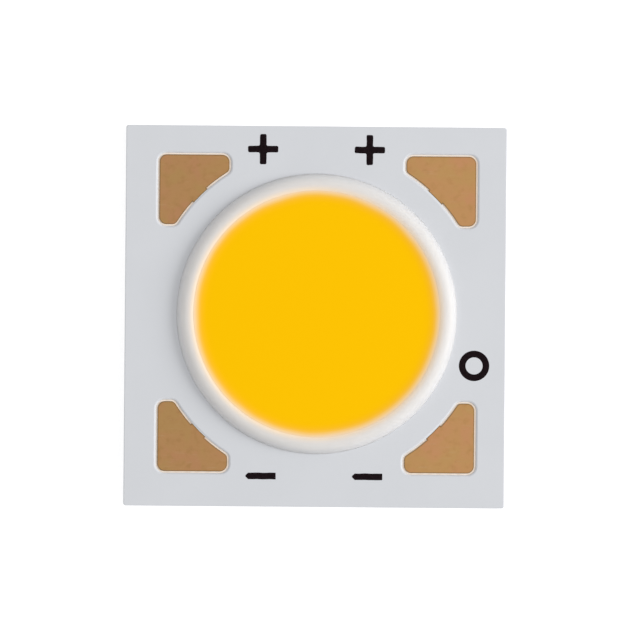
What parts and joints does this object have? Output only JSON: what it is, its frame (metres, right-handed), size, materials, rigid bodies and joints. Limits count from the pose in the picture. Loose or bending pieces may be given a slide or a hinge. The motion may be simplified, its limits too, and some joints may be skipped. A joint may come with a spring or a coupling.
{
  "type": "cob led",
  "caption": "Square chip-on-board light source: metal-core board with corner solder pads, white silicone dam and a yellow phosphor disc over strings of LED dies.",
  "frame": {"origin": "middle of the board's flat underside, which lies on the heat sink", "axes": "+Z out of the light-emitting face, +Y towards the edge with the plus pads, +X to the right with the plus pads at the top"},
  "size_m": [0.019, 0.019, 0.0017],
  "materials": {
    "plate": "satin mill finish",
    "laminate": "resin laminate, matte",
    "copper": "etched copper",
    "mask": "white solder mask, satin",
    "land": "plated copper, slightly scuffed",
    "die_adhesive": "cured adhesive",
    "dam": "white silicone, smooth",
    "phosphor": "silicone filled with yellow phosphor",
    "die": "polished sapphire chip",
    "wire": "gold wire",
    "ink": "black printed ink"
  },
  "bodies": {
    "root": {"base_plate": "plate", "laminate": "laminate", "positive_copper": "copper", "negative_copper": "copper", "solder_mask": "mask", "plus_land_left": "land", "plus_land_right": "land", "minus_land_left": "land", "minus_land_right": "land", "die_attach": "die_adhesive", "dam_ring": "dam", "phosphor_fill": "phosphor", "led_string_1": "die", "led_string_2": "die", "led_string_3": "die", "led_string_4": "die", "led_string_5": "die", "led_string_6": "die", "led_string_7": "die", "led_string_8": "die", "bond_wires_1": "wire", "bond_wires_2": "wire", "bond_wires_3": "wire", "bond_wires_4": "wire", "bond_wires_5": "wire", "bond_wires_6": "wire", "bond_wires_7": "wire", "bond_wires_8": "wire"}
  },
  "joints": []
}
